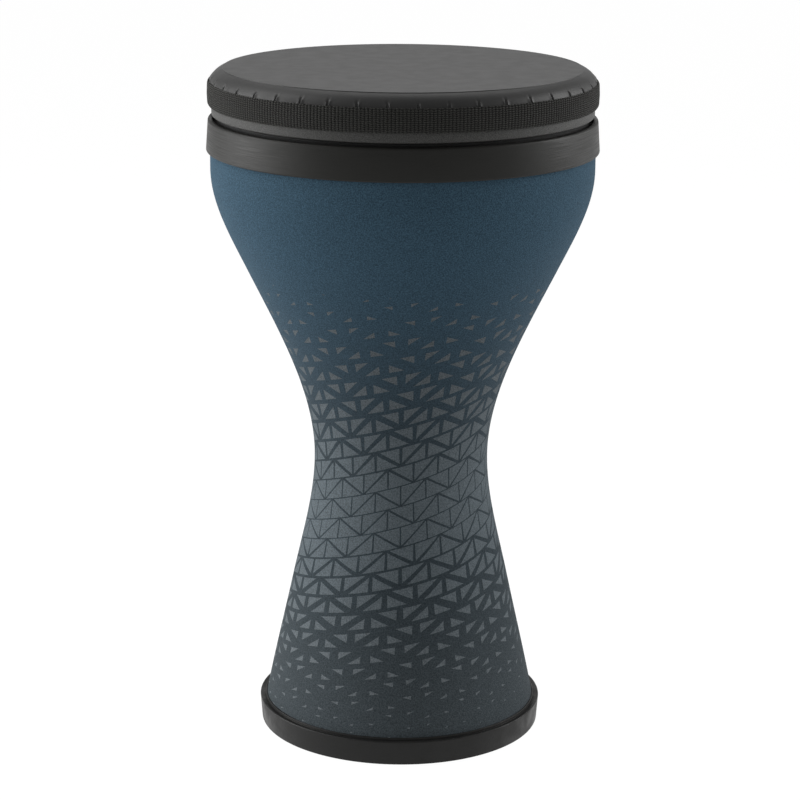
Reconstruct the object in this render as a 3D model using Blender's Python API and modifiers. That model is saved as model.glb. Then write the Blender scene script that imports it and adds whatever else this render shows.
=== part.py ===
"""Goblet drum: a fibre shell in a printed fabric wrap, with a rubber foot and a press-on head.

Units are metres, with +Z up. The origin is on the floor, at the middle of the foot.
Every piece is turned about the Z axis, so each one is drawn as a section of (radius, height) points.
"""

import math

import bpy

# Outline of the drum, on the outer face of the fabric, as radii and slopes from the floor up
FOOT_RADIUS = 0.1333
FOOT_SLOPE = -0.168
CONE_RADIUS = 0.1033
CONE_SLOPE = -0.214
WAIST_RADIUS = 0.0823
FLARE_RADIUS = 0.1467
FLARE_SLOPE = 0.49
BOWL_RADIUS = 0.1782

# Heights of the stretches between those radii
CONE_HEIGHT = 0.142
WAIST_RISE = 0.122
FLARE_RISE = 0.185
BOWL_RISE = 0.091
BOWL_WALL_HEIGHT = 0.035

# Walls, and the gap that is left between two pieces that touch
SHELL_WALL = 0.007
WRAP_THICKNESS = 0.0008
GAP = 0.0003

# Rubber foot, a channel that the shell's lower edge stands in
FOOT_FLOOR = 0.004
FOOT_HEIGHT = 0.0235
FOOT_WALL = 0.0064
FOOT_TAPER = 0.0018
FOOT_LIP_RISE = 0.0016
FOOT_LIP_WIDTH = 0.0014
FOOT_FLANGE_HEIGHT = 0.009
FOOT_FLANGE_WIDTH = 0.004
FOOT_ROUNDING = 0.002

# Plastic collar round the mouth, with a pocket above the shell's rim
COLLAR_DROP = 0.018
COLLAR_RISE = 0.012
COLLAR_WALL = 0.0035
COLLAR_LIP = 0.0048
COLLAR_TAPER = 0.002
COLLAR_ROUNDING = 0.0018

# Reinforcing ring inside the mouth, and the soft seat in the pocket
MOUTH_RING_HEIGHT = 0.020
MOUTH_RING_WIDTH = 0.009
SEAT_THICKNESS = 0.0015
SEAT_RISE = 0.006

# Head: its hoop, the flesh hoop, the drawn film and the webbing
HOOP_CLEARANCE = 0.0042
HOOP_FLARE = 0.0027
HOOP_FLARE_HEIGHT = 0.023
HOOP_WALL = 0.0075
HEAD_DEPTH = 0.0559
FILM_THICKNESS = 0.0008
CREASE_INSET = 0.0125
SHOULDER_HEIGHT = 0.015
CREASE_ANGLE = math.radians(25)
FLESH_HOOP_WIDTH = 0.0034
FLESH_HOOP_HEIGHT = 0.014
SKIRT_DROP = 0.0155
WEBBING_WIDTH = 0.0234
WEBBING_THICKNESS = 0.0016
WEBBING_TOP_LAP = 0.004
WEBBING_ROUNDING = 0.003

# Fineness of the turned meshes
SEGMENTS = 48
ROWS_PER_STRETCH = (3, 4, 5, 4, 1)
ROUNDING_STEPS = 2
SHOULDER_STEPS = 5
SHARP_ANGLE = math.radians(32)

COLOURS = {
    "fibre": ((0.23, 0.20, 0.16), 0.85),
    "printed_fabric": ((0.035, 0.07, 0.105), 0.9),
    "collar_plastic": ((0.022, 0.022, 0.021), 0.38),
    "foot_rubber": ((0.012, 0.012, 0.012), 0.6),
    "mouth_ply": ((0.30, 0.22, 0.14), 0.7),
    "seat_foam": ((0.01, 0.01, 0.01), 0.95),
    "hoop_fibre": ((0.055, 0.055, 0.05), 0.85),
    "hoop_metal": ((0.70, 0.70, 0.71), 0.35),
    "head_film": ((0.045, 0.045, 0.044), 0.45),
    "webbing": ((0.014, 0.014, 0.013), 0.9),
}

STATIONS = (
    (0.0, FOOT_RADIUS, FOOT_SLOPE),
    (CONE_HEIGHT, CONE_RADIUS, CONE_SLOPE),
    (CONE_HEIGHT + WAIST_RISE, WAIST_RADIUS, 0.0),
    (CONE_HEIGHT + WAIST_RISE + FLARE_RISE, FLARE_RADIUS, FLARE_SLOPE),
    (CONE_HEIGHT + WAIST_RISE + FLARE_RISE + BOWL_RISE, BOWL_RADIUS, 0.0),
    (CONE_HEIGHT + WAIST_RISE + FLARE_RISE + BOWL_RISE + BOWL_WALL_HEIGHT, BOWL_RADIUS, 0.0),
)

# Depths below the fabric's outer face at which each surface lies
SHELL_DEPTH = WRAP_THICKNESS + GAP
SHELL_INNER_DEPTH = SHELL_DEPTH + SHELL_WALL
SHELL_BOTTOM = FOOT_FLOOR + GAP
RIM_HEIGHT = STATIONS[-1][0]

COLLAR_INNER = BOWL_RADIUS + GAP
COLLAR_OUTER = COLLAR_INNER + COLLAR_WALL
POCKET_RADIUS = COLLAR_OUTER - COLLAR_TAPER - COLLAR_LIP
MOUTH_RING_OUTER = BOWL_RADIUS - SHELL_INNER_DEPTH - GAP

# Heights in the head are counted from the underside of its hoop
SEAT_TOP = RIM_HEIGHT + GAP + SEAT_THICKNESS
HEAD_SEAT = SEAT_TOP + GAP
HOOP_BOTTOM_RADIUS = POCKET_RADIUS - HOOP_CLEARANCE
HOOP_TOP_RADIUS = HOOP_BOTTOM_RADIUS + HOOP_FLARE
HOOP_INNER_RADIUS = HOOP_BOTTOM_RADIUS - HOOP_WALL
FLESH_HOOP_INNER = HOOP_TOP_RADIUS + GAP
SKIRT_RADIUS = FLESH_HOOP_INNER + FLESH_HOOP_WIDTH + GAP + FILM_THICKNESS
CREASE_RADIUS = SKIRT_RADIUS - CREASE_INSET
SHOULDER_FOOT = HEAD_DEPTH - SHOULDER_HEIGHT


def clear_scene():
    """Removes every object of the startup scene."""
    for obj in list(bpy.data.objects):
        bpy.data.objects.remove(obj, do_unlink=True)


def outline_at(height):
    """Radius and slope of the fabric's outer face: a cubic between each two stations."""
    for lower, upper in zip(STATIONS, STATIONS[1:]):
        if height <= upper[0]:
            break
    span = upper[0] - lower[0]
    t = (height - lower[0]) / span
    radius = (
        (2 * t**3 - 3 * t**2 + 1) * lower[1]
        + (t**3 - 2 * t**2 + t) * span * lower[2]
        + (3 * t**2 - 2 * t**3) * upper[1]
        + (t**3 - t**2) * span * upper[2]
    )
    slope = (
        (6 * t**2 - 6 * t) * (lower[1] - upper[1]) / span
        + (3 * t**2 - 4 * t + 1) * lower[2]
        + (3 * t**2 - 2 * t) * upper[2]
    )
    return radius, slope


def wall_radius(height, depth):
    """Radius of the surface that lies this deep, square to the wall, below the fabric's face."""
    radius, slope = outline_at(height)
    return radius - depth * math.hypot(1, slope)


def wall_section(outer_depth, inner_depth, bottom, top):
    """Closed section of a wall that follows the outline, down its outer side and up its inner."""
    heights = [bottom]
    for lower, upper, rows in zip(STATIONS, STATIONS[1:], ROWS_PER_STRETCH):
        for row in range(rows):
            height = lower[0] + (upper[0] - lower[0]) * row / rows
            if bottom < height < top:
                heights.append(height)
    heights.append(top)
    outer = [(wall_radius(height, outer_depth), height) for height in reversed(heights)]
    inner = [(wall_radius(height, inner_depth), height) for height in heights]
    return outer + inner


def rounded(corners):
    """Section through (radius, height, rounding) corners, each rounding an arc that touches both sides."""
    points = []
    for index, (x, y, rounding) in enumerate(corners):
        before = corners[index - 1]
        after = corners[(index + 1) % len(corners)]
        to_before = (before[0] - x, before[1] - y)
        to_after = (after[0] - x, after[1] - y)
        before_length = math.hypot(*to_before)
        after_length = math.hypot(*to_after)
        if rounding <= 0:
            points.append((x, y))
            continue
        ax, ay = to_before[0] / before_length, to_before[1] / before_length
        bx, by = to_after[0] / after_length, to_after[1] / after_length
        half = math.acos(max(-1.0, min(1.0, ax * bx + ay * by))) / 2
        reach = min(rounding / math.tan(half), 0.45 * before_length, 0.45 * after_length)
        radius = reach * math.tan(half)
        middle_x, middle_y = ax + bx, ay + by
        middle = math.hypot(middle_x, middle_y)
        distance = radius / math.sin(half)
        centre = (x + middle_x / middle * distance, y + middle_y / middle * distance)
        start = math.atan2(y + ay * reach - centre[1], x + ax * reach - centre[0])
        turn = math.atan2(y + by * reach - centre[1], x + bx * reach - centre[0]) - start
        turn = (turn + math.pi) % (2 * math.pi) - math.pi
        for step in range(ROUNDING_STEPS + 1):
            angle = start + turn * step / ROUNDING_STEPS
            points.append((centre[0] + radius * math.cos(angle), centre[1] + radius * math.sin(angle)))
    return points


def shoulder(depth):
    """The film's shoulder from the crease out to the skirt, this deep below its outer face."""
    first_sine, first_cosine = math.sin(CREASE_ANGLE), math.cos(CREASE_ANGLE)
    points = []
    for step in range(SHOULDER_STEPS + 1):
        angle = CREASE_ANGLE + (math.pi / 2 - CREASE_ANGLE) * step / SHOULDER_STEPS
        across = (math.sin(angle) - first_sine) / (1 - first_sine)
        radius = CREASE_RADIUS + (CREASE_INSET - depth) * across
        height = SHOULDER_FOOT + (SHOULDER_HEIGHT - depth) * math.cos(angle) / first_cosine
        points.append((radius, height))
    return points


def shoulder_height(radius, depth):
    """Height of that surface at a radius between the crease and the skirt."""
    first_sine, first_cosine = math.sin(CREASE_ANGLE), math.cos(CREASE_ANGLE)
    sine = first_sine + (radius - CREASE_RADIUS) / (CREASE_INSET - depth) * (1 - first_sine)
    cosine = math.sqrt(max(0.0, 1 - sine * sine))
    return SHOULDER_FOOT + (SHOULDER_HEIGHT - depth) * cosine / first_cosine


def material(name):
    """A Principled material with the named colour and roughness."""
    colour, roughness = COLOURS[name]
    made = bpy.data.materials.new(name)
    made.use_nodes = True
    shader = made.node_tree.nodes["Principled BSDF"]
    shader.inputs["Base Color"].default_value = (*colour, 1.0)
    shader.inputs["Roughness"].default_value = roughness
    shader.inputs["Metallic"].default_value = 1.0 if name == "hoop_metal" else 0.0
    made.diffuse_color = (*colour, 1.0)
    return made


def turned(name, section, material_name, parent, closed=True):
    """One solid of revolution, from a section whose outer side runs from its top to its bottom."""
    count = len(section)
    edges = [(index, (index + 1) % count) for index in range(count if closed else count - 1)]
    profile = bpy.data.meshes.new(name)
    profile.from_pydata([(radius, 0.0, height) for radius, height in section], edges, [])
    obj = bpy.data.objects.new(name, profile)
    parent.users_collection[0].objects.link(obj)
    screw = obj.modifiers.new("turn", "SCREW")
    screw.steps = SEGMENTS
    screw.render_steps = SEGMENTS
    screw.use_merge_vertices = True
    screw.merge_threshold = 0.00001
    bpy.context.view_layer.update()
    evaluated = obj.evaluated_get(bpy.context.evaluated_depsgraph_get())
    solid = bpy.data.meshes.new_from_object(evaluated)
    obj.modifiers.clear()
    obj.data = solid
    bpy.data.meshes.remove(profile)
    solid.name = name
    solid.shade_smooth()
    solid.set_sharp_from_angle(angle=SHARP_ANGLE)
    solid.materials.append(material(material_name))
    obj.parent = parent
    return obj


def make_shell(body):
    """The moulded fibre goblet, open at both ends."""
    section = wall_section(SHELL_DEPTH, SHELL_INNER_DEPTH, SHELL_BOTTOM, RIM_HEIGHT)
    turned("shell", section, "fibre", body)


def make_fabric_wrap(body):
    """The printed fabric, bonded all over the outside of the shell."""
    section = wall_section(0.0, WRAP_THICKNESS, SHELL_BOTTOM, RIM_HEIGHT)
    turned("fabric_wrap", section, "printed_fabric", body)


def make_foot_ring(body):
    """The rubber channel under the shell, with a thin lip that hugs the fabric."""
    lip_top = FOOT_HEIGHT + FOOT_LIP_RISE
    flange_top = FOOT_FLOOR + FOOT_FLANGE_HEIGHT
    lip_inner = wall_radius(lip_top, -GAP)
    wall_outer = wall_radius(FOOT_HEIGHT, -GAP) + FOOT_WALL
    floor_outer = wall_radius(FOOT_FLOOR, -GAP)
    flange_outer = wall_radius(flange_top, SHELL_INNER_DEPTH + GAP)
    floor_inner = wall_radius(FOOT_FLOOR, SHELL_INNER_DEPTH + GAP)
    section = rounded(
        [
            (lip_inner + FOOT_LIP_WIDTH, lip_top, FOOT_LIP_WIDTH / 3),
            (wall_radius(FOOT_HEIGHT, -GAP) + FOOT_LIP_WIDTH, FOOT_HEIGHT, 0.0),
            (wall_outer, FOOT_HEIGHT, FOOT_ROUNDING),
            (wall_outer - FOOT_TAPER, 0.0, FOOT_ROUNDING / 2),
            (flange_outer - FOOT_FLANGE_WIDTH, 0.0, FOOT_ROUNDING / 2),
            (flange_outer - FOOT_FLANGE_WIDTH, flange_top, 0.0),
            (flange_outer, flange_top, 0.0),
            (floor_inner, FOOT_FLOOR, 0.0),
            (floor_outer, FOOT_FLOOR, 0.0),
            (lip_inner, lip_top, 0.0),
        ]
    )
    turned("foot_ring", section, "foot_rubber", body)


def make_top_collar(body):
    """The extruded band round the mouth: it hooks over the rim and stands up as a pocket."""
    top = RIM_HEIGHT + COLLAR_RISE
    bottom = RIM_HEIGHT - COLLAR_DROP
    section = rounded(
        [
            (COLLAR_OUTER - COLLAR_TAPER, top, COLLAR_ROUNDING),
            (COLLAR_OUTER, bottom, COLLAR_ROUNDING),
            (COLLAR_INNER, bottom, 0.0),
            (COLLAR_INNER, RIM_HEIGHT + GAP, 0.0),
            (POCKET_RADIUS, RIM_HEIGHT + GAP, 0.0),
            (POCKET_RADIUS, top, COLLAR_ROUNDING / 2),
        ]
    )
    turned("top_collar", section, "collar_plastic", body)


def make_mouth_ring(body):
    """The reinforcing ring bonded inside the shell's mouth, flush with the rim."""
    inner = MOUTH_RING_OUTER - MOUTH_RING_WIDTH
    bottom = RIM_HEIGHT - MOUTH_RING_HEIGHT
    section = [
        (MOUTH_RING_OUTER, RIM_HEIGHT),
        (MOUTH_RING_OUTER, bottom),
        (inner + MOUTH_RING_WIDTH / 2, bottom),
        (inner, bottom + MOUTH_RING_WIDTH / 2),
        (inner, RIM_HEIGHT),
    ]
    turned("mouth_ring", section, "mouth_ply", body)


def hoop_radius(height):
    """Outer radius of the head hoop's tapered foot, at a height above its underside."""
    return HOOP_BOTTOM_RADIUS + HOOP_FLARE * min(1.0, height / HOOP_FLARE_HEIGHT)


def make_seat_gasket(body):
    """The soft L-section ring in the collar's pocket, which the hoop wedges into."""
    outer = POCKET_RADIUS - GAP
    rise = min(SEAT_RISE, HOOP_FLARE_HEIGHT)
    base = RIM_HEIGHT + GAP
    section = [
        (outer, HEAD_SEAT + rise),
        (outer, base),
        (HOOP_INNER_RADIUS, base),
        (HOOP_INNER_RADIUS, SEAT_TOP),
        (hoop_radius(0.0) + GAP, SEAT_TOP),
        (hoop_radius(rise) + GAP, HEAD_SEAT + rise),
    ]
    turned("seat_gasket", section, "seat_foam", body)


def make_head_hoop(head):
    """The grey fibre hoop: its foot sits in the pocket and its top edge carries the film."""
    below_film = FILM_THICKNESS + GAP
    corner_height = shoulder_height(HOOP_TOP_RADIUS, below_film) - GAP
    section = [
        (CREASE_RADIUS, HEAD_DEPTH - below_film),
        (HOOP_TOP_RADIUS, corner_height),
        (HOOP_TOP_RADIUS, HOOP_FLARE_HEIGHT),
        (HOOP_BOTTOM_RADIUS, 0.0),
        (HOOP_INNER_RADIUS, 0.0),
        (HOOP_INNER_RADIUS, HEAD_DEPTH - below_film),
    ]
    turned("head_hoop", section, "hoop_fibre", head)


def make_flesh_hoop(head):
    """The metal hoop that the film's skirt is bonded to, round the head hoop."""
    top = SHOULDER_FOOT - GAP
    outer = FLESH_HOOP_INNER + FLESH_HOOP_WIDTH
    section = [
        (outer, top),
        (outer, top - FLESH_HOOP_HEIGHT),
        (FLESH_HOOP_INNER, top - FLESH_HOOP_HEIGHT),
        (FLESH_HOOP_INNER, top),
    ]
    turned("flesh_hoop", section, "hoop_metal", head)


def make_head_film(head):
    """The playing face: flat to the crease, over the shoulder and down to the skirt's edge."""
    skirt_end = SHOULDER_FOOT - SKIRT_DROP
    outer = shoulder(0.0)
    inner = shoulder(FILM_THICKNESS)
    section = [(0.0, HEAD_DEPTH)]
    section += outer
    section.append((SKIRT_RADIUS, skirt_end))
    section.append((SKIRT_RADIUS - FILM_THICKNESS, skirt_end))
    section += reversed(inner)
    section.append((0.0, HEAD_DEPTH - FILM_THICKNESS))
    turned("head_film", section, "head_film", head, closed=False)


def make_webbing_band(head):
    """The woven band round the skirt, with soft rounded edges."""
    inner = SKIRT_RADIUS + GAP
    outer = inner + WEBBING_THICKNESS
    top = SHOULDER_FOOT + WEBBING_TOP_LAP
    bottom = top - WEBBING_WIDTH
    section = [
        (inner + 0.3 * WEBBING_THICKNESS, top),
        (inner + 0.8 * WEBBING_THICKNESS, top - 0.3 * WEBBING_ROUNDING),
        (outer, top - WEBBING_ROUNDING),
        (outer, bottom + WEBBING_ROUNDING),
        (inner + 0.7 * WEBBING_THICKNESS, bottom + 0.3 * WEBBING_ROUNDING),
        (inner, bottom),
        (inner, top),
    ]
    turned("webbing_band", section, "webbing", head)


def make_empty(name, collection, height):
    """An empty on the drum's axis, which the pieces of one body are parented to."""
    empty = bpy.data.objects.new(name, None)
    empty.location.z = height
    collection.objects.link(empty)
    return empty


def main():
    clear_scene()
    collection = bpy.data.collections.new("goblet_drum")
    bpy.context.scene.collection.children.link(collection)
    body = make_empty("drum_body_origin", collection, 0.0)
    head = make_empty("head_seat_origin", collection, HEAD_SEAT)
    for make in (
        make_shell,
        make_fabric_wrap,
        make_foot_ring,
        make_top_collar,
        make_mouth_ring,
        make_seat_gasket,
    ):
        make(body)
    for make in (make_head_hoop, make_flesh_hoop, make_head_film, make_webbing_band):
        make(head)


main()
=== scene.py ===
"""Looks of the goblet drum: fine turned surfaces, procedural materials, soft light and the camera.

Units are metres in the frame's own axes: +Z up, the floor at zero and the photograph's camera on the -Y side.
"""

import math

import bpy
from mathutils import Matrix, Vector


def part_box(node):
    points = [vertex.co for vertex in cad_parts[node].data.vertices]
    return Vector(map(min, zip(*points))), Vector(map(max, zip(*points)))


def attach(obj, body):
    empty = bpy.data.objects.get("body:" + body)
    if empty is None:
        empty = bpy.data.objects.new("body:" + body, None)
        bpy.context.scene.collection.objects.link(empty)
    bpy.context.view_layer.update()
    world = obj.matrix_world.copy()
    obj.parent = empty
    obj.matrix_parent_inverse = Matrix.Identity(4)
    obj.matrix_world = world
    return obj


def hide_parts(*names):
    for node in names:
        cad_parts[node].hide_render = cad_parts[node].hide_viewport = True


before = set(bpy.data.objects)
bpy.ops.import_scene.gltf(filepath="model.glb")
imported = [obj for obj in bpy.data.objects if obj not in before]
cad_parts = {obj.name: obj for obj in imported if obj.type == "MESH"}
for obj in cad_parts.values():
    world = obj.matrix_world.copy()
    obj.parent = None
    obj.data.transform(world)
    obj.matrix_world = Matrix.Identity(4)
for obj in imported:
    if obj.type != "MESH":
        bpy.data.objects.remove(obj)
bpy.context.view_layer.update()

# Camera of the photograph
CAMERA_DISTANCE = 2.402
CAMERA_HEIGHT = 0.956
CAMERA_PITCH_DOWN = 14.917
CAMERA_ROLL = 0.367
CAMERA_LENS = 117.8
CAMERA_SHIFT = -0.0016
SENSOR_WIDTH = 36.0

# Outline of the fabric: height, radius and slope at each station, from the floor up
STATIONS = (
    (0.0, 0.1333, -0.168),
    (0.142, 0.1033, -0.214),
    (0.264, 0.0823, 0.0),
    (0.449, 0.1467, 0.49),
    (0.540, 0.1782, 0.0),
    (0.575, 0.1782, 0.0),
)
WRAP_THICKNESS = 0.0008
WRAP_ROWS = 120
TURN_STEPS = 192

# Printed lattice of cells in climbing rows, each cell cut in two triangles. Rows get closer away from
# LATTICE_HEIGHT, and the lines between the triangles get wider outside the two PLAIN_LINES heights.
CELLS_ROUND = 22
ROWS_PER_TURN = 8
ROW_HEIGHT = 0.0192
ROW_CROWDING = 150.0
ROW_CROWDING_HIGH = 0.15
LATTICE_HEIGHT = 0.2555
LATTICE_TURN = 1.5
LATTICE_TOP = 0.448
LATTICE_TOP_FADE = 0.006
LATTICE_TOP_LINES = 0.06
LINE_SHARE = 0.028
LINE_CLIMB = 0.012
LINE_GROWTH_UP = 0.95
LINE_GROWTH_DOWN = 1.15
PLAIN_LINES_LOW = 0.205
PLAIN_LINES_HIGH = 0.255

# Head: puckers of the gathered film, the step at its crease, and the ribs of the webbing
PUCKERS = 42
PUCKER_STEPS = 16
PUCKER_DEPTH = 0.0013
CREASE_STEP = 0.0006
RIB_STEPS = 6
RIB_DEPTH = 0.0006
WEBBING_RIBS = 344
CREASE_ANGLE = math.radians(25)
HOOP_SHOWS = 0.0080
WHITE = (1.0, 1.0, 1.0, 1.0)


def outline_radius(height):
    """Radius of the fabric's outer face: a cubic between each two stations."""
    for lower, upper in zip(STATIONS, STATIONS[1:]):
        if height <= upper[0]:
            break
    span = upper[0] - lower[0]
    t = (height - lower[0]) / span
    return (
        (2 * t**3 - 3 * t**2 + 1) * lower[1]
        + (t**3 - 2 * t**2 + t) * span * lower[2]
        + (3 * t**2 - 2 * t**3) * upper[1]
        + (t**3 - t**2) * span * upper[2]
    )


def rounded(corners, steps=5):
    """Closed section through (radius, height, rounding) corners, with an arc at each rounding."""
    points = []
    for index, (x, y, rounding) in enumerate(corners):
        before = corners[index - 1]
        after = corners[(index + 1) % len(corners)]
        if rounding <= 0:
            points.append((x, y))
            continue
        before_length = math.hypot(before[0] - x, before[1] - y)
        after_length = math.hypot(after[0] - x, after[1] - y)
        ax, ay = (before[0] - x) / before_length, (before[1] - y) / before_length
        bx, by = (after[0] - x) / after_length, (after[1] - y) / after_length
        half = math.acos(max(-1.0, min(1.0, ax * bx + ay * by))) / 2
        reach = min(rounding / math.tan(half), 0.45 * before_length, 0.45 * after_length)
        radius = reach * math.tan(half)
        middle = math.hypot(ax + bx, ay + by)
        distance = radius / math.sin(half)
        centre_x = x + (ax + bx) / middle * distance
        centre_y = y + (ay + by) / middle * distance
        start = math.atan2(y + ay * reach - centre_y, x + ax * reach - centre_x)
        turn = math.atan2(y + by * reach - centre_y, x + bx * reach - centre_x) - start
        turn = (turn + math.pi) % (2 * math.pi) - math.pi
        for step in range(steps + 1):
            angle = start + turn * step / steps
            points.append((centre_x + radius * math.cos(angle), centre_y + radius * math.sin(angle)))
    return points


def turned(name, section, steps=TURN_STEPS, closed=True, shift=None):
    """A solid of revolution. The section runs down its outer side; shift moves a point by its angle."""
    vertices = []
    faces = []
    count = len(section)
    for step in range(steps):
        angle = 2 * math.pi * step / steps
        for index, (radius, height) in enumerate(section):
            if shift:
                radius, height = shift(index, radius, height, step)
            vertices.append((radius * math.cos(angle), radius * math.sin(angle), height))
    for step in range(steps):
        here = step * count
        there = (step + 1) % steps * count
        for index in range(count if closed else count - 1):
            after = (index + 1) % count
            faces.append((here + index, here + after, there + after, there + index))
    if not closed:
        top = len(vertices)
        vertices.append((0.0, 0.0, section[0][1]))
        vertices.append((0.0, 0.0, section[-1][1]))
        for step in range(steps):
            there = (step + 1) % steps * count
            faces.append((step * count, there, top))
            faces.append((there + count - 1, step * count + count - 1, top + 1))
    mesh = bpy.data.meshes.new(name)
    mesh.from_pydata(vertices, [], faces)
    mesh.validate()
    mesh.shade_smooth()
    mesh.set_sharp_from_angle(angle=math.radians(40))
    obj = bpy.data.objects.new(name, mesh)
    bpy.context.scene.collection.objects.link(obj)
    return obj


def dress(piece, material, body, node):
    """Gives a turned piece its material and its body, and hides the CAD node that it stands for."""
    piece.data.materials.append(material)
    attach(piece, body)
    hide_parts(node)


def node_size(node):
    """Outer radius, lowest and highest point of a turned CAD node."""
    low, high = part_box(node)
    return high[0], low[2], high[2]


class Shader:
    """A node material, with short calls for the nodes that the drum's finishes use."""

    def __init__(self, name, colour, roughness, metallic=0.0, specular=0.5):
        self.material = bpy.data.materials.new(name)
        self.material.use_nodes = True
        self.tree = self.material.node_tree
        self.principled = self.tree.nodes["Principled BSDF"]
        self.principled.inputs["Base Color"].default_value = (*colour, 1.0)
        self.principled.inputs["Roughness"].default_value = roughness
        self.principled.inputs["Metallic"].default_value = metallic
        self.principled.inputs["Specular IOR Level"].default_value = specular
        self.place = self.tree.nodes.new("ShaderNodeTexCoord").outputs["Object"]

    def put(self, socket, value):
        if isinstance(value, bpy.types.NodeSocket):
            self.tree.links.new(value, socket)
        else:
            socket.default_value = value

    def math(self, operation, *values):
        node = self.tree.nodes.new("ShaderNodeMath")
        node.operation = operation
        for socket, value in zip(node.inputs, values):
            self.put(socket, value)
        return node.outputs[0]

    def ramp(self, value, low, high, start=0.0, end=1.0):
        node = self.tree.nodes.new("ShaderNodeMapRange")
        node.interpolation_type = "SMOOTHSTEP"
        inputs = {"Value": value, "From Min": low, "From Max": high, "To Min": start, "To Max": end}
        for name, number in inputs.items():
            self.put(node.inputs[name], number)
        return node.outputs[0]

    def mix(self, factor, first, second, blend="MIX"):
        node = self.tree.nodes.new("ShaderNodeMix")
        node.data_type = "RGBA"
        node.blend_type = blend
        self.put(node.inputs["Factor"], factor)
        for socket, value in ((node.inputs[6], first), (node.inputs[7], second)):
            self.put(socket, value if isinstance(value, bpy.types.NodeSocket) else (*value, 1.0))
        return node.outputs[2]

    def cylinder(self):
        """Angle round the drum from its front, and height."""
        split = self.tree.nodes.new("ShaderNodeSeparateXYZ")
        self.put(split.inputs[0], self.place)
        x, y, z = split.outputs
        return self.math("ARCTAN2", x, self.math("MULTIPLY", y, -1.0)), z

    def vector(self, x, y, z):
        node = self.tree.nodes.new("ShaderNodeCombineXYZ")
        for socket, value in zip(node.inputs, (x, y, z)):
            self.put(socket, value)
        return node.outputs[0]

    def noise(self, scale, detail=2.0, vector=None):
        node = self.tree.nodes.new("ShaderNodeTexNoise")
        node.inputs["Scale"].default_value = scale
        node.inputs["Detail"].default_value = detail
        self.put(node.inputs["Vector"], vector or self.place)
        return node.outputs["Fac"]

    def bump(self, height, distance, strength=1.0):
        node = self.tree.nodes.new("ShaderNodeBump")
        node.inputs["Distance"].default_value = distance
        node.inputs["Strength"].default_value = strength
        self.put(node.inputs["Height"], height)
        self.put(self.principled.inputs["Normal"], node.outputs[0])

    def colour(self, value):
        self.put(self.principled.inputs["Base Color"], value)

    def roughness(self, value):
        self.put(self.principled.inputs["Roughness"], value)


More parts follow.
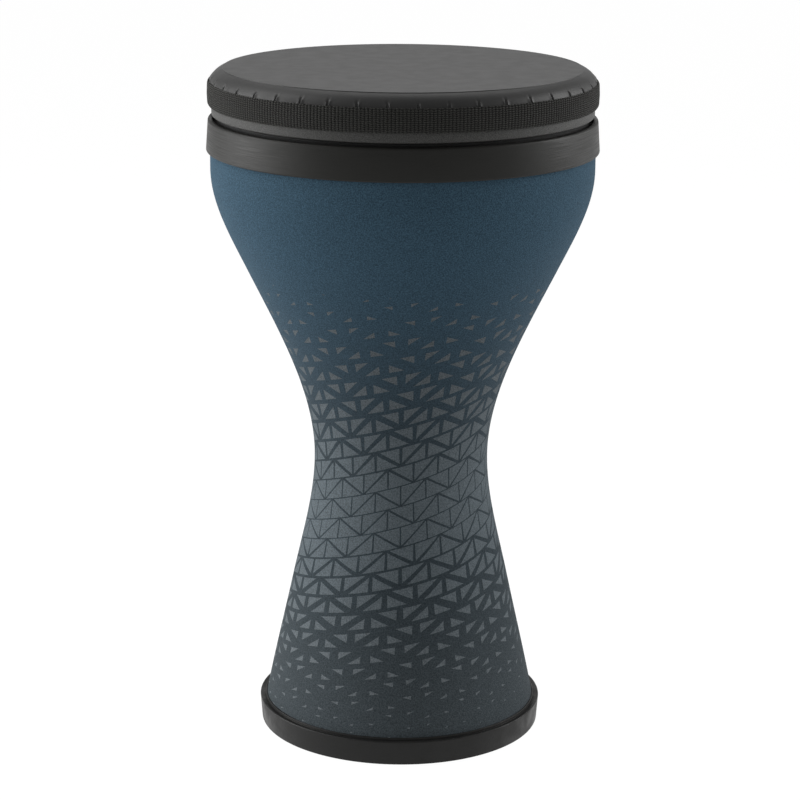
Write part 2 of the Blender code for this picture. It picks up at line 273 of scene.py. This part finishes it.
def fabric_material():
    """Blue cloth that darkens down the drum, printed with a climbing lattice of grey triangles, with painted
    light that brightens it again near the foot.
    """
    shader = Shader("printed_fabric_look", (0.05, 0.085, 0.115), 0.85, specular=0.06)
    shader.principled.inputs["Sheen Weight"].default_value = 0.03
    shader.principled.inputs["Sheen Roughness"].default_value = 0.5
    m = shader.math
    threads_round, thread_rate = 620.0, 5200.0
    # The foot's ground and print are brighter than the waist's: painted light near the foot.
    lit_foot_ground, lit_foot_print = (0.062, 0.075, 0.083), (0.150, 0.170, 0.182)
    waist_ground, waist_print = (0.040, 0.053, 0.062), (0.112, 0.135, 0.150)
    bowl_ground, bowl_print = (0.046, 0.090, 0.130), (0.108, 0.124, 0.134)
    angle, height = shader.cylinder()
    above = m("SUBTRACT", height, LATTICE_HEIGHT)
    share = m("ADD", m("MULTIPLY", m("LESS_THAN", above, 0.0), 1 - ROW_CROWDING_HIGH), ROW_CROWDING_HIGH)
    crowding = m("MULTIPLY", m("MULTIPLY", m("MULTIPLY", above, above), ROW_CROWDING), share)
    rise = m("MULTIPLY", above, m("ADD", 1 / ROW_HEIGHT, crowding))
    climb = m("MULTIPLY", angle, ROWS_PER_TURN / (2 * math.pi))
    row_place = m("SUBTRACT", rise, climb)
    row = m("FLOOR", row_place)
    y = m("SUBTRACT", row_place, row)
    odd_row = m("FLOORED_MODULO", row, 2.0)
    across = m("ADD", m("MULTIPLY", angle, CELLS_ROUND / (2 * math.pi)), LATTICE_TURN)
    across = m("ADD", across, m("MULTIPLY", odd_row, 0.5))
    cell = m("FLOOR", across)
    x = m("SUBTRACT", across, cell)
    x = m("ABSOLUTE", m("SUBTRACT", x, m("FLOORED_MODULO", cell, 2.0)))
    inside = m("MINIMUM", m("MINIMUM", x, y), m("SUBTRACT", 1.0, m("MAXIMUM", x, y)))
    inside = m("MINIMUM", inside, m("MULTIPLY", m("ABSOLUTE", m("SUBTRACT", x, y)), 0.5))
    level = m("SUBTRACT", height, m("MULTIPLY", angle, LINE_CLIMB))
    upward = m("MULTIPLY", m("MAXIMUM", m("SUBTRACT", level, PLAIN_LINES_HIGH), 0.0), LINE_GROWTH_UP)
    downward = m("MULTIPLY", m("MAXIMUM", m("SUBTRACT", PLAIN_LINES_LOW, level), 0.0), LINE_GROWTH_DOWN)
    ending = shader.ramp(
        height, LATTICE_TOP - LATTICE_TOP_FADE, LATTICE_TOP + LATTICE_TOP_FADE, 0.0, LATTICE_TOP_LINES
    )
    edge = m("ADD", m("ADD", upward, downward), m("ADD", ending, LINE_SHARE))
    ink = shader.ramp(m("SUBTRACT", inside, edge), -0.008, 0.008)
    grain = shader.noise(900.0, 3.0)
    warp = m("SINE", m("MULTIPLY", angle, threads_round))
    weft = m("SINE", m("MULTIPLY", height, thread_rate))
    threads = m("MULTIPLY", warp, weft)
    cloth = m("ADD", grain, m("MULTIPLY", threads, 0.12))
    fade = shader.ramp(height, 0.25, 0.50)
    # Painted light: below 0.20 m the ground and print brighten towards the foot.
    low = shader.ramp(height, 0.20, 0.02)
    ground = shader.mix(fade, shader.mix(low, waist_ground, lit_foot_ground), bowl_ground)
    printed = shader.mix(low, waist_print, lit_foot_print)
    printed = shader.mix(shader.ramp(height, 0.25, 0.42), printed, bowl_print)
    colour = shader.mix(ink, ground, printed)
    worn = shader.mix(shader.ramp(cloth, 0.25, 0.75), (0.60, 0.60, 0.60), (1.36, 1.36, 1.36))
    shader.colour(shader.mix(1.0, colour, worn, blend="MULTIPLY"))
    shader.bump(cloth, 0.00025)
    return shader.material


def film_material():
    """Matte black coated film, faintly mottled."""
    shader = Shader("head_film_look", (0.03, 0.03, 0.03), 0.5, specular=0.35)
    mottle = shader.noise(26.0, 4.0)
    shader.colour(shader.mix(mottle, (0.023, 0.023, 0.023), (0.029, 0.029, 0.028)))
    shader.roughness(shader.ramp(shader.noise(60.0), 0.3, 0.7, 0.47, 0.51))
    shader.bump(shader.noise(500.0), 0.00008)
    return shader.material


def webbing_material():
    """Black webbing: upright ribs, each of slanting stitches that turn about from rib to rib, with painted
    shade that darkens each rib towards its edges.
    """
    shader = Shader("webbing_look", (0.024, 0.024, 0.022), 0.8, specular=0.3)
    m = shader.math
    stitch_rate, stitch_slant = 3300.0, 1.1
    angle, height = shader.cylinder()
    rib_place = m("MULTIPLY", angle, WEBBING_RIBS / (2 * math.pi))
    rib = m("FLOOR", rib_place)
    across = m("SUBTRACT", m("MULTIPLY", m("SUBTRACT", rib_place, rib), 2.0), 1.0)
    side = m("SUBTRACT", m("MULTIPLY", m("FLOORED_MODULO", rib, 2.0), 2.0), 1.0)
    slant = m("MULTIPLY", m("MULTIPLY", across, side), stitch_slant)
    stitch = m("SINE", m("ADD", m("MULTIPLY", height, stitch_rate), slant))
    # Painted shade: the colour darkens towards each rib's edges, where the grooves lie; the stitches add
    # their light and dark along the rib.
    round_rib = m("SQRT", m("SUBTRACT", 1.001, m("MULTIPLY", across, across)))
    stitches_and_rib_shade = m("MULTIPLY", round_rib, m("ADD", 0.6, m("MULTIPLY", stitch, 0.4)))
    shader.colour(shader.mix(stitches_and_rib_shade, (0.002, 0.002, 0.002), (0.056, 0.056, 0.050)))
    shader.bump(stitch, 0.0005)
    return shader.material


def grit_material():
    """Grey hoop with a fine sanded texture, and painted shade that turns its foot near black below the band.
    """
    shader = Shader("hoop_fibre_look", (0.12, 0.12, 0.115), 0.6, specular=0.45)
    _, height = shader.cylinder()
    grit = shader.noise(1400.0, 3.0)
    sanded = shader.mix(shader.ramp(grit, 0.3, 0.7), (0.010, 0.010, 0.009), (0.070, 0.070, 0.066))
    # Painted shade: below band_bottom the hoop's colour turns near black, where the recess under the band
    # lies in shadow.
    band_bottom = node_size("webbing_band")[1] - HOOP_SHOWS
    above_painted_shade = shader.ramp(height, band_bottom - 0.001, band_bottom)
    shader.colour(shader.mix(above_painted_shade, (0.012, 0.012, 0.012), sanded))
    shader.bump(grit, 0.0004)
    return shader.material


def collar_material():
    """Black extruded plastic with fine scuffs that run round it."""
    shader = Shader("collar_plastic_look", (0.018, 0.018, 0.017), 0.5, specular=0.25)
    m = shader.math
    angle, height = shader.cylinder()
    scuff_length, scuff_rate = 4.0, 1500.0
    stretched = shader.vector(m("MULTIPLY", angle, scuff_length), 0.0, m("MULTIPLY", height, scuff_rate))
    streaks = shader.noise(1.0, 3.0, stretched)
    shader.colour(shader.mix(streaks, (0.005, 0.005, 0.004), (0.016, 0.016, 0.014)))
    shader.roughness(shader.ramp(streaks, 0.3, 0.7, 0.40, 0.60))
    shader.bump(streaks, 0.00012)
    return shader.material


def rubber_material():
    """Black rubber with a soft satin face."""
    shader = Shader("foot_rubber_look", (0.015, 0.015, 0.015), 0.5, specular=0.25)
    patches = shader.noise(70.0, 4.0)
    shader.colour(shader.mix(patches, (0.007, 0.007, 0.007), (0.016, 0.016, 0.015)))
    shader.roughness(shader.ramp(patches, 0.3, 0.7, 0.36, 0.54))
    shader.bump(shader.noise(420.0), 0.00012)
    return shader.material


def plain_material(name, dark, pale, roughness, scale, metallic=0.0):
    """A grained finish for a piece inside the drum."""
    shader = Shader(name, dark, roughness, metallic)
    grain = shader.noise(scale, 5.0)
    shader.colour(shader.mix(grain, dark, pale))
    shader.bump(grain, 0.0003)
    return shader.material


def make_wrap():
    """The fabric, as a thin fine skin on the shell."""
    _, bottom, top = node_size("fabric_wrap")
    heights = [bottom + (top - bottom) * row / WRAP_ROWS for row in range(WRAP_ROWS + 1)]
    outer = [(outline_radius(height), height) for height in reversed(heights)]
    inner = [(outline_radius(height) - WRAP_THICKNESS, height) for height in heights]
    wrap = turned("fabric_wrap_skin", outer + inner)
    dress(wrap, fabric_material(), "drum_body", "fabric_wrap")


def make_foot():
    """The rubber foot, with its rounded edges and the thin lip that hugs the fabric."""
    radius, bottom, top = node_size("foot_ring")
    gap = 0.0003
    lip_rise, lip_width, taper, step_top = 0.0016, 0.0014, 0.0018, top - 0.0016
    inner_wall, inner_top, seat = 0.1206, 0.013, 0.004
    shell_inside_top, shell_inside_foot = 0.1229, 0.1243
    lip = outline_radius(top) + gap
    foot = turned(
        "foot_ring_fine",
        rounded(
            [
                (lip + lip_width, top, lip_width * 0.45),
                (lip + lip_width + 0.0002, top - lip_rise * 1.6, 0.0003),
                (radius - 0.003, step_top - 0.0006, 0.0005),
                (radius, step_top, 0.0018),
                (radius - taper, bottom, 0.0012),
                (inner_wall, bottom, 0.001),
                (inner_wall, inner_top, 0.001),
                (shell_inside_top, inner_top, 0.0008),
                (shell_inside_foot, seat, 0.0),
                (outline_radius(seat) + gap, seat, 0.0),
                (lip, top, 0.0002),
            ]
        ),
    )
    dress(foot, rubber_material(), "drum_body", "foot_ring")


def make_collar():
    """The extruded band, with its rounded lip and rolled lower edge."""
    radius, bottom, top = node_size("top_collar")
    taper, inner, pocket, rim = 0.002, 0.1785, 0.1752, 0.5753
    collar = turned(
        "top_collar_fine",
        rounded(
            [
                (radius - taper, top, 0.0024),
                (radius, bottom, 0.0026),
                (inner, bottom, 0.0004),
                (inner, rim, 0.0),
                (pocket, rim, 0.0),
                (pocket, top, 0.0016),
            ],
            steps=8,
        ),
    )
    dress(collar, collar_material(), "drum_body", "top_collar")


def make_film():
    """The film, with the puckers that its gathered edge makes just above the webbing."""
    skirt, skirt_end, top = node_size("head_film")
    crease, foot_height, ledge = skirt - 0.0125, top - 0.015, top - CREASE_STEP
    first_sine, first_cosine = math.sin(CREASE_ANGLE), math.cos(CREASE_ANGLE)
    rows = 16
    thickness = 0.0006
    flat = [((crease - CREASE_STEP / 2) * step / 6, top) for step in range(1, 7)]

    def shoulder(depth):
        points = []
        for step in range(rows + 1):
            angle = CREASE_ANGLE + (math.pi / 2 - CREASE_ANGLE) * step / rows
            across = (math.sin(angle) - first_sine) / (1 - first_sine)
            points.append(
                (
                    crease + (skirt - depth - crease) * across,
                    foot_height + (ledge - depth - foot_height) * math.cos(angle) / first_cosine,
                )
            )
        return points

    outer = flat + shoulder(0.0)
    section = outer + [(skirt, skirt_end), (skirt - thickness, skirt_end)]
    section += list(reversed(shoulder(thickness)))
    low, high = foot_height + 0.0045, foot_height + 0.0110

    def pucker(index, radius, height, step):
        if index >= len(outer) or height > high:
            return radius, height
        near = {0: -1.0, 1: 0.5, PUCKER_STEPS - 1: 0.3}.get(step % PUCKER_STEPS, 0.0)
        fade = min(1.0, (high - height) / (high - low))
        return radius + PUCKER_DEPTH * near * fade, height

    film = turned("head_film_fine", section, steps=PUCKERS * PUCKER_STEPS, closed=False, shift=pucker)
    dress(film, film_material(), "head", "head_film")


def make_webbing():
    """The woven band, rolled softly over at both edges."""
    radius, bottom, top = node_size("webbing_band")
    inner = radius - 0.0016
    belly, edge_roll, belly_roll = 0.0002, 0.004, 0.02
    section = rounded(
        [
            (inner + 0.0002, top, 0.0003),
            (radius - belly, top - 0.0022, edge_roll),
            (radius + belly, (top + bottom) / 2, belly_roll),
            (radius - belly, bottom + 0.0026, edge_roll),
            (inner - 0.0004, bottom, 0.0003),
            (inner, bottom + 0.0030, 0.0),
            (inner, top - 0.003, 0.0),
        ]
    )

    def rib(index, radius, height, step):
        across = 2 * (step % RIB_STEPS) / RIB_STEPS - 1
        return radius - RIB_DEPTH * (1 - math.sqrt(1 - across * across)), height

    webbing = turned("webbing_band_fine", section, steps=WEBBING_RIBS * RIB_STEPS, shift=rib)
    dress(webbing, webbing_material(), "head", "webbing_band")


def make_hoop():
    """The grey hoop, whose tapered foot shows under the webbing."""
    _, bottom, top = node_size("head_hoop")
    band_bottom = node_size("webbing_band")[1] - HOOP_SHOWS
    skirt_end = node_size("head_film")[1]
    inner, top_edge, behind_skirt, shown = 0.1635, 0.1660, 0.1737, 0.1766
    foot_top, foot_end = 0.1722, 0.1710
    section = rounded(
        [
            (top_edge, top, 0.001),
            (behind_skirt, top - 0.0062, 0.001),
            (behind_skirt, skirt_end - 0.0006, 0.0004),
            (shown, skirt_end - 0.0010, 0.0006),
            (shown, band_bottom, 0.0014),
            (foot_top, band_bottom - 0.0012, 0.0008),
            (foot_end, bottom, 0.0012),
            (inner, bottom, 0.001),
            (inner, top, 0.001),
        ]
    )
    hoop = turned("head_hoop_fine", section)
    dress(hoop, grit_material(), "head", "head_hoop")


def finish_inner_nodes():
    """Materials of the CAD nodes that stay as they are."""
    foam_dark, foam_pale = (0.008, 0.008, 0.008), (0.016, 0.016, 0.016)
    metal_dark, metal_pale = (0.55, 0.55, 0.56), (0.72, 0.72, 0.73)
    looks = {
        "shell": plain_material("fibre_look", (0.16, 0.13, 0.10), (0.30, 0.26, 0.21), 0.85, 90.0),
        "mouth_ring": plain_material("mouth_ply_look", (0.22, 0.15, 0.09), (0.36, 0.27, 0.17), 0.7, 60.0),
        "seat_gasket": plain_material("seat_foam_look", foam_dark, foam_pale, 0.9, 800.0),
        "flesh_hoop": plain_material("hoop_metal_look", metal_dark, metal_pale, 0.35, 200.0, 1.0),
    }
    for name, look in looks.items():
        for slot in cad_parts[name].material_slots:
            slot.material = look


def area_light(name, place, aim, size, power):
    """A soft rectangular lamp that faces a point."""
    lamp = bpy.data.lights.new(name, "AREA")
    lamp.shape = "RECTANGLE"
    lamp.size, lamp.size_y = size
    lamp.energy = power
    obj = bpy.data.objects.new(name, lamp)
    obj.location = place
    direction = (obj.location - Vector(aim)).normalized()
    obj.rotation_euler = direction.to_track_quat("Z", "Y").to_euler()
    bpy.context.scene.collection.objects.link(obj)


def backdrop_rays(tree, share=1.0):
    """One for the camera's rays, and a share of one for the rays of gloss and glass."""
    path = tree.nodes.new("ShaderNodeLightPath")
    gloss = tree.nodes.new("ShaderNodeMath")
    gloss.operation = "MAXIMUM"
    tree.links.new(path.outputs["Is Glossy Ray"], gloss.inputs[0])
    tree.links.new(path.outputs["Is Transmission Ray"], gloss.inputs[1])
    part = tree.nodes.new("ShaderNodeMath")
    part.operation = "MULTIPLY"
    tree.links.new(gloss.outputs[0], part.inputs[0])
    if isinstance(share, bpy.types.NodeSocket):
        tree.links.new(share, part.inputs[1])
    else:
        part.inputs[1].default_value = share
    either = tree.nodes.new("ShaderNodeMath")
    either.operation = "MAXIMUM"
    tree.links.new(path.outputs["Is Camera Ray"], either.inputs[0])
    tree.links.new(part.outputs[0], either.inputs[1])
    return either.outputs[0]


def make_light():
    """Soft boxes to the left, to the right and above, with a weak even fill."""
    middle = (0.0, 0.0, 0.35)
    fill_strength, behind_from, behind_full = 0.34, 0.88, 0.99
    area_light("left_box", (-1.95, 0.10, 0.60), middle, (1.4, 1.6), 33.0)
    area_light("right_box", (1.85, 0.40, 1.10), (0.0, 0.0, 0.50), (1.2, 1.4), 23.0)
    area_light("shoulder_box", (-1.35, 0.20, 1.75), (0.0, 0.0, 0.60), (0.7, 0.9), 10.0)
    area_light("top_box", (0.0, 0.9, 2.0), (0.0, 0.0, 0.6), (1.6, 0.9), 7.0)
    world = bpy.data.worlds.new("studio")
    bpy.context.scene.world = world
    world.use_nodes = True
    tree = world.node_tree
    fill = tree.nodes["Background"]
    fill.inputs["Color"].default_value = WHITE
    fill.inputs["Strength"].default_value = fill_strength
    white = tree.nodes.new("ShaderNodeBackground")
    white.inputs["Strength"].default_value = 1.0
    white.inputs["Color"].default_value = WHITE
    direction = tree.nodes.new("ShaderNodeTexCoord").outputs["Generated"]
    split = tree.nodes.new("ShaderNodeSeparateXYZ")
    tree.links.new(direction, split.inputs[0])
    behind = tree.nodes.new("ShaderNodeMapRange")
    behind.inputs["From Min"].default_value = behind_from
    behind.inputs["From Max"].default_value = behind_full
    tree.links.new(split.outputs["Y"], behind.inputs["Value"])
    mix = tree.nodes.new("ShaderNodeMixShader")
    tree.links.new(backdrop_rays(tree, behind.outputs[0]), mix.inputs[0])
    tree.links.new(fill.outputs[0], mix.inputs[1])
    tree.links.new(white.outputs[0], mix.inputs[2])
    tree.links.new(mix.outputs[0], tree.nodes["World Output"].inputs["Surface"])


def make_floor():
    """A plain pale floor that the camera sees nearly white, with a faint shadow."""
    reach, pale, seen_grey, seen_glow = 12.0, 0.75, 0.10, 0.96
    corners = [(-reach, -reach, 0), (reach, -reach, 0), (reach, reach, 0), (-reach, reach, 0)]
    mesh = bpy.data.meshes.new("floor")
    mesh.from_pydata(corners, [], [(0, 1, 2, 3)])
    floor = bpy.data.objects.new("floor", mesh)
    bpy.context.scene.collection.objects.link(floor)
    material = bpy.data.materials.new("floor_pale")
    material.use_nodes = True
    tree = material.node_tree
    tree.nodes.remove(tree.nodes["Principled BSDF"])
    matte = tree.nodes.new("ShaderNodeBsdfDiffuse")
    matte.inputs["Color"].default_value = (pale, pale, pale, 1.0)
    seen = tree.nodes.new("ShaderNodeBsdfDiffuse")
    seen.inputs["Color"].default_value = (seen_grey, seen_grey, seen_grey, 1.0)
    glow = tree.nodes.new("ShaderNodeEmission")
    glow.inputs["Strength"].default_value = seen_glow
    add = tree.nodes.new("ShaderNodeAddShader")
    mix = tree.nodes.new("ShaderNodeMixShader")
    tree.links.new(seen.outputs[0], add.inputs[0])
    tree.links.new(glow.outputs[0], add.inputs[1])
    tree.links.new(backdrop_rays(tree), mix.inputs[0])
    tree.links.new(matte.outputs[0], mix.inputs[1])
    tree.links.new(add.outputs[0], mix.inputs[2])
    tree.links.new(mix.outputs[0], tree.nodes["Material Output"].inputs["Surface"])
    mesh.materials.append(material)


def make_camera():
    """The photograph's camera."""
    camera = bpy.data.cameras.new("camera")
    camera.lens = CAMERA_LENS
    camera.sensor_width = SENSOR_WIDTH
    camera.shift_x = CAMERA_SHIFT
    obj = bpy.data.objects.new("camera", camera)
    tilt = Matrix.Rotation(math.radians(90 - CAMERA_PITCH_DOWN), 4, "X")
    roll = Matrix.Rotation(math.radians(CAMERA_ROLL), 4, "Z")
    obj.matrix_world = Matrix.Translation((0.0, -CAMERA_DISTANCE, CAMERA_HEIGHT)) @ tilt @ roll
    bpy.context.scene.collection.objects.link(obj)
    bpy.context.scene.camera = obj


make_camera()
make_light()
make_floor()
make_wrap()
make_foot()
make_collar()
make_film()
make_webbing()
make_hoop()
finish_inner_nodes()
bpy.context.scene.view_settings.view_transform = "Standard"
